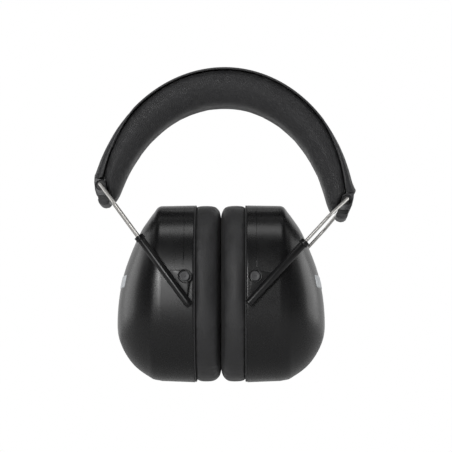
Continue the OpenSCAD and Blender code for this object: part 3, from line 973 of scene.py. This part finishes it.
def block_piece(s, word):
    """End block: rounded foot, grooved waist, bore for the wire with a swing pocket on each face."""
    waist = -64.5  # below this height the foot's ends are rounded off
    ys = [-BLOCK_HALF, -13.9, -13.65, -13.2, *np.linspace(-12.6, -9, 8), -4, 0]
    ys = ys + [-y for y in ys[-2::-1]]
    rings = []
    for y in ys:
        e = BLOCK_HALF - abs(y)
        inset = 0.75 * (1 - math.sqrt(max(0, 1 - (1 - min(e, 0.8) / 0.8) ** 2)))
        o = offset_outline(BLOCK, inset)
        over = max(0.0, abs(y) - (BLOCK_HALF - FOOT_R))
        low = FOOT_Z + FOOT_R - math.sqrt(max(0.0, FOOT_R**2 - over * over))
        k = (low - waist) / (FOOT_Z - waist)
        rings.append([[p[0], y, p[1] if p[1] > waist else waist + (p[1] - waist) * k] for p in o])
    body = loft(rings)
    ob = build(word + "_end_block_form", (on_band(body[0], s), body[1]), BLOCK_MAT, 30)
    bevel = ob.modifiers.new("round", "BEVEL")
    bevel.width, bevel.segments = 0.18 * MM, 2
    bevel.limit_method, bevel.angle_limit = "ANGLE", math.radians(40)
    settle(ob, 30)
    # bore for the wire, then on each face a swing pocket and a groove round the waist
    pin = (PIVOT[0], 0, PIVOT[1])
    cut = [lathe([(0, -20), (1.12, -20), (1.12, 20), (0, 20)], "y", pin, 40, closed=False)]
    pocket = [(0, 11.4), (2.75, 11.4), (3.0, 11.5), (3.1, 11.75), (3.1, 13.7), (3.35, 14.02), (3.35, 16),
              (0, 16)]
    box_faces = [(0, 1, 3, 2), (4, 6, 7, 5), (0, 4, 5, 1), (2, 3, 7, 6), (0, 2, 6, 4), (1, 5, 7, 3)]
    for f in (-1, 1):
        v, q = lathe(pocket, "y", pin, 48, closed=False)
        v[:, 1] *= f
        cut.append((v, q))
        box = np.array([[x, f * y, z] for x in (68, 86) for y in (11.6, 16) for z in (-67.95, -65.4)])
        cut.append((box, box_faces))
    for v, q in cut:
        boolean(ob, build("cutter", (on_band(v, s), q), BLOCK_MAT))
    # the tongue that runs up inside the sleeve
    turns = np.linspace(61, REACH - 0.4, 24)
    rings = []
    for t in turns:
        p, d = seam_at(t), inward(t)
        half_w = 9 - 1.5 * smoothstep((62.2 - t) / 1.2)
        rings.append([[p[0] - d[0] * h, y, p[1] - d[1] * h]
                      for h, y in ((0.12, -half_w), (0.12, half_w), (2.6, half_w), (2.9, half_w - 0.4),
                                   (2.9, 0.4 - half_w), (2.6, -half_w))])
    tongue = loft(rings)
    # painted shade: darker inserts, a bush in each pocket and a strip in the groove, stand in for the shade
    # that falls in these recesses
    dark = []
    for f in (-1, 1):
        pocket_shade_ring = [(1.14, 11.3), (3.05, 11.3), (3.05, 12.3), (2.95, 12.4), (1.4, 12.4), (1.14, 12.2)]
        v, q = lathe(pocket_shade_ring, "y", pin, 48)
        v[:, 1] *= f
        dark.append((v, q))
    low = fillet([[72.95, -65.5], [79.65, -65.5], [79.1, -67.85], [72.3, -67.85]], 0.3)
    dark.append(loft([[[p[0], y, p[1]] for p in low] for y in (-12.7, 12.7)]))
    v, q = join(*dark)
    # these dark inserts are painted shade in the pockets and the groove
    place(build(word + "_block_painted_shade_inserts", (on_band(v, s), q), PLATE, 30), "headband")
    place(build(word + "_block_tongue", (on_band(tongue[0], s), tongue[1]), BLOCK_MAT, 30), "headband")
    place(ob, "headband", word + "_end_block", slot="block_plastic")
    return ob


def arc_points(centre, radius, a0, a1, n):
    return [[0, centre[0] + radius * math.sin(a), centre[1] + radius * math.cos(a)]
            for a in np.linspace(math.radians(a0), math.radians(a1), n)]


def wire_piece(s, word):
    """One bent stainless wire: crossbar, shoulders and two legs."""
    slope = math.atan2(SHOULDER_DROP, TUBE_Y - BAR_HALF)
    c1, c2 = BAR_BEND * math.tan(slope / 2), KNEE_BEND * math.tan((math.pi / 2 - slope) / 2)
    half = [[0, y, 0] for y in np.linspace(0, BAR_HALF - c1, 16)[:-1]]
    half += arc_points((BAR_HALF - c1, -BAR_BEND), BAR_BEND, 0, math.degrees(slope), 12)
    end = half[-1]
    knee = (TUBE_Y - KNEE_BEND, -SHOULDER_DROP - c2)
    start = [0, knee[0] + KNEE_BEND * math.sin(slope), knee[1] + KNEE_BEND * math.cos(slope)]
    half += [list(np.array(end) + (np.array(start) - end) * k) for k in np.linspace(0, 1, 14)[1:-1]]
    half += arc_points(knee, KNEE_BEND, math.degrees(slope), 90, 14)
    half += [[0, TUBE_Y, z] for z in np.linspace(knee[1], LEG_END, 22)[1:]]
    path = [[p[0], -p[1], p[2]] for p in half[:0:-1]] + half
    v, f = sweep(path, WIRE_R, (1, 0, 0), 24)
    ob = build(word + "_wire_yoke_form", (on_yoke(v, s), f), WIRE, 50)
    return place(ob, word + "_yoke", word + "_wire_yoke", slot="wire_steel")


def fillet(points, r, steps=5):
    """A 2-D outline with its corners rounded."""
    p = np.asarray(points, float)
    out = []
    for i in range(len(p)):
        a, b, c = p[i - 1], p[i], p[(i + 1) % len(p)]
        u, v = (a - b) / np.linalg.norm(a - b), (c - b) / np.linalg.norm(c - b)
        k = min(r, 0.4 * np.linalg.norm(a - b), 0.4 * np.linalg.norm(c - b))
        for t in np.linspace(0, 1, steps):
            out.append((1 - t) ** 2 * (b + u * k) + 2 * t * (1 - t) * b + t * t * (b + v * k))
    return np.array(out)


def arm_piece(s, word, face, side_word):
    """One arm: a tube for the wire's leg, an eye round the stud, and a thin rimmed web between them."""
    drop = yoke_of(s)[3]
    low, top = -drop - TUBE_BELOW, -drop + TUBE_ABOVE
    tube = lathe([(BORE_R, low), (TUBE_R - 0.15, low), (TUBE_R, low + 0.15), (TUBE_R, top - 2.6),
                  (2.46, top - 2.5), (2.46, top), (1.3, top), (1.3, top - 3), (BORE_R, top - 3.3)],
                 "z", (0, TUBE_Y, 0), 64)
    eye = lathe([(2.05, 44.75), (4.05, 44.75), (4.23, 44.83), (4.3, 45.0), (4.3, 47.7), (4.22, 47.93),
                 (4.05, 48.05), (3.85, 48.05), (3.7, 47.95), (3.66, 47.8), (3.66, 46.6), (2.05, 46.6)],
                "y", (STUD_OFF, 0, -drop), 64)
    # the web stops inside the tube's wall, clear of the wire's bore
    outline = fillet([[1.6, 10.05], [10.6, 3], [11.4, -2.4], [9.5, -3.6], [1.6, -11.67]], 1.2)
    outline = outline + [0, -drop]
    hole = circle(STUD_OFF, -drop, 2.2)
    web = plate(outline, hole, 45.0, 46.7, 0.25)
    inset = offset_outline(outline, 0.5)
    rim = plate(outline, inset, 46.4, 47.05, 0.16)
    v, f = join(tube, eye, web, rim)
    v[:, 1] *= face
    ob = build(word + "_" + side_word + "_arm_form", (on_yoke(v, s), f), ARM, 35)
    return place(ob, word + "_arms", word + "_" + side_word + "_arm", slot="arm_plastic")


def collar_and_plug(s, word):
    """The grooved collars at the tubes' upper ends and the domed plugs in their lower ends."""
    drop = yoke_of(s)[3]
    top, low = -drop + TUBE_ABOVE, -drop - TUBE_BELOW
    collar = [(1.16, 0.8), (1.5, 0.83), (2.45, 0.83), (2.85, 0.72), (3.05, 0.45), (3.05, -0.25),
              (2.85, -0.42), (2.85, -0.62), (3.05, -0.8), (3.05, -1.85), (2.9, -2.1), (2.7, -2.2),
              (2.51, -2.2), (2.51, 0.05), (1.16, 0.05)]
    plug = [(0, -0.04), (2.5, -0.04), (2.5, -0.75), (2.38, -1.1), (2.05, -1.32), (1.5, -1.42),
            (0.6, -1.45), (0, -1.45)]
    for profile, at, closed, name in ((collar, top, True, "_tube_collars"),
                                      (plug, low, False, "_tube_plugs")):
        pair = [lathe([(r, at + h) for r, h in profile], "z", (0, face * TUBE_Y, 0), 56, closed=closed)
                for face in (-1, 1)]
        v, f = join(*pair)
        ob = build(word + name + "_form", (on_yoke(v, s), f), ARM, 35)
        place(ob, word + "_arms", word + name, slot="arm_plastic")


def stud_piece(s, word):
    """Front and rear stud: a cap with a small centre mark, the pin, and a flange inside the shell."""
    profile = [(0, 48.02), (0.5, 48.0), (0.62, 47.9), (0.74, 48.0), (1.9, 48.02), (2.55, 48.1), (2.8, 48.07),
               (2.97, 47.95), (3.05, 47.75), (3.05, 47.1), (2.0, 47.08), (2.0, 40.2), (4.0, 40.15),
               (4.2, 40.0), (4.2, 38.5), (0, 38.4)]
    parts = []
    for face in (-1, 1):
        v, f = lathe(profile, "y", (STUD_X, 0, STUD_Z - CUP_Z), 64, closed=False)
        v[:, 1] *= face
        parts.append((v, f))
    v, f = join(*parts)
    ob = build(word + "_pivot_studs_form", (on_cup(v, s), f), STUD, 35)
    return place(ob, word + "_cup", word + "_pivot_studs", slot="stud_plastic")


# ---------------- the object
pad_piece()
cover_piece()
stitches()
piping_piece(-1, "front_piping")
piping_piece(1, "rear_piping")
for s, word in SIDES:
    block_piece(s, word)
    wire_piece(s, word)
    arm_piece(s, word, -1, "front")
    arm_piece(s, word, 1, "rear")
    collar_and_plug(s, word)
    shell = shell_piece(s, word)
    badge_piece(s, word, shell)
    cushion_piece(s, word)
    liner_piece(s, word)
    stud_piece(s, word)

# CAD nodes whose shape is right as it is take a finish of their own
for node, mat in (("spring_strip", SPRING), ("left_band_rivets", RIVET), ("right_band_rivets", RIVET),
                  ("left_back_plate", PLATE), ("right_back_plate", PLATE),
                  ("left_stud_washers", PLATE), ("right_stud_washers", PLATE)):
    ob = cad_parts[node]
    for sl in ob.material_slots:
        sl.material = mat
    if not ob.material_slots:
        ob.data.materials.append(mat)

# ---------------- floor, light, camera
scene = bpy.context.scene
FLOOR_Z, FLOOR_R = -0.27, 2.5
me = bpy.data.meshes.new("floor")
ring = [(FLOOR_R * math.cos(a), FLOOR_R * math.sin(a), FLOOR_Z) for a in np.arange(96) * math.pi / 48]
me.from_pydata(ring, [], [tuple(range(96))])
floor = bpy.data.objects.new("floor", me)
scene.collection.objects.link(floor)
pale = principled("floor_pale", 0.9, specular=0.1)
pale.node_tree.nodes["Principled BSDF"].inputs["Base Color"].default_value = (0.82, 0.82, 0.82, 1)
me.materials.append(pale)

scene.view_settings.view_transform = "Standard"
world = bpy.data.worlds.new("studio")
scene.world = world
world.use_nodes = True
new, link = world.node_tree.nodes.new, world.node_tree.links.new
white = world.node_tree.nodes["Background"]     # what the camera sees
soft = new("ShaderNodeBackground")              # what lights the object
white.inputs["Strength"].default_value = 1.0
for node in (white, soft):
    node.inputs["Color"].default_value = (1, 1, 1, 1)
coord, sep = new("ShaderNodeTexCoord"), new("ShaderNodeSeparateXYZ")
link(coord.outputs["Generated"], sep.inputs[0])
# little light from the front, more from behind, and less from high up
both = new("ShaderNodeMath")
both.operation = "MULTIPLY"
for i, (axis, *limits) in enumerate((("Y", -0.45, 0.45, 0.09, 0.72), ("Z", 0.3, 0.8, 1.0, 0.25))):
    ramp = new("ShaderNodeMapRange")
    ramp.interpolation_type = "SMOOTHSTEP"
    for key, value in zip(("From Min", "From Max", "To Min", "To Max"), limits):
        ramp.inputs[key].default_value = value
    link(sep.outputs[axis], ramp.inputs["Value"])
    link(ramp.outputs["Result"], both.inputs[i])
link(both.outputs[0], soft.inputs["Strength"])
path, mix = new("ShaderNodeLightPath"), new("ShaderNodeMixShader")
link(path.outputs["Is Camera Ray"], mix.inputs["Fac"])
link(soft.outputs[0], mix.inputs[1])
link(white.outputs[0], mix.inputs[2])
link(mix.outputs[0], world.node_tree.nodes["World Output"].inputs["Surface"])

AIM = (0, 0, -0.08)
SOFTBOXES = (  # name, place in metres, width, height, watts
    ("front_box", (-0.58, -2.1, 0.2), 0.6, 0.4, 14),
    ("hair_box", (0.0, -0.75, 1.3), 1.0, 0.45, 4),
    ("top_box", (0.0, 0.5, 1.35), 1.6, 1.0, 3),
    ("left_box", (-2.2, 0.9, 0.4), 1.5, 1.2, 7),
    ("right_box", (2.2, 0.9, 0.4), 1.5, 1.2, 9),
)
for name, at, wide, tall, watts in SOFTBOXES:
    li = bpy.data.lights.new(name, "AREA")
    li.shape, li.size, li.size_y, li.energy = "RECTANGLE", wide, tall, watts
    ob = bpy.data.objects.new(name, li)
    scene.collection.objects.link(ob)
    ob.location = at
    ob.rotation_mode = "QUATERNION"
    ob.rotation_quaternion = (Vector(AIM) - Vector(at)).to_track_quat("-Z", "Y")
    ob.visible_camera = False

cam = bpy.data.cameras.new("camera")
cam.lens, cam.sensor_width = 161.8, 36
cam.clip_start, cam.clip_end = 0.05, 60
cam_ob = bpy.data.objects.new("camera", cam)
scene.collection.objects.link(cam_ob)
cam_ob.location = (0.0158, -1.2939, -0.2034)
cam_ob.rotation_mode = "QUATERNION"
cam_ob.rotation_quaternion = (Vector((-0.0023, 0, -0.0788)) - cam_ob.location).to_track_quat("-Z", "Y")
scene.camera = cam_ob
